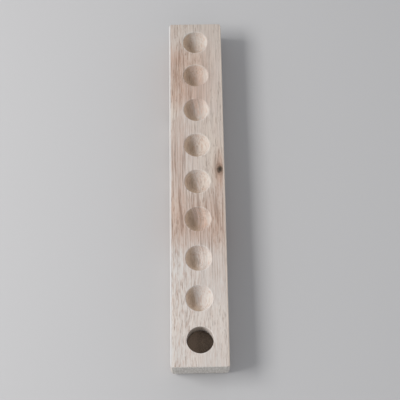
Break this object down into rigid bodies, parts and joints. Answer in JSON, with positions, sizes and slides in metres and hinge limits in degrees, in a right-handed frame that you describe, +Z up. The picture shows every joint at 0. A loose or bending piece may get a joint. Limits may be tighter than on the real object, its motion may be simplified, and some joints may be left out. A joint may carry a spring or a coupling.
{
  "type": "egg holder tray",
  "caption": "Long limed-wood block tray with a row of shallow round egg cups in its top and one deeper round well at the front end.",
  "frame": {"origin": "middle of the footprint, on the surface that the feet stand on", "axes": "+Z up; +Y along the row of cups, from the front end with the round well to the far end; +X to the right seen from the front end"},
  "size_m": [0.07, 0.47, 0.036],
  "materials": {
    "limed_wood_upper": "limed, matt, open grain",
    "limed_wood_lower": "limed, matt, open grain",
    "dark_disc": "dark brown felt",
    "dowel_wood": "bare beech",
    "felt_foot": "dark grey felt"
  },
  "bodies": {
    "root": {"upper_board": "limed_wood_upper", "lower_board": "limed_wood_lower", "well_disc": "dark_disc", "dowel_pin_1": "dowel_wood", "dowel_pin_2": "dowel_wood", "dowel_pin_3": "dowel_wood", "dowel_pin_4": "dowel_wood", "foot_pad_front_left": "felt_foot", "foot_pad_front_right": "felt_foot", "foot_pad_rear_left": "felt_foot", "foot_pad_rear_right": "felt_foot"}
  },
  "joints": []
}
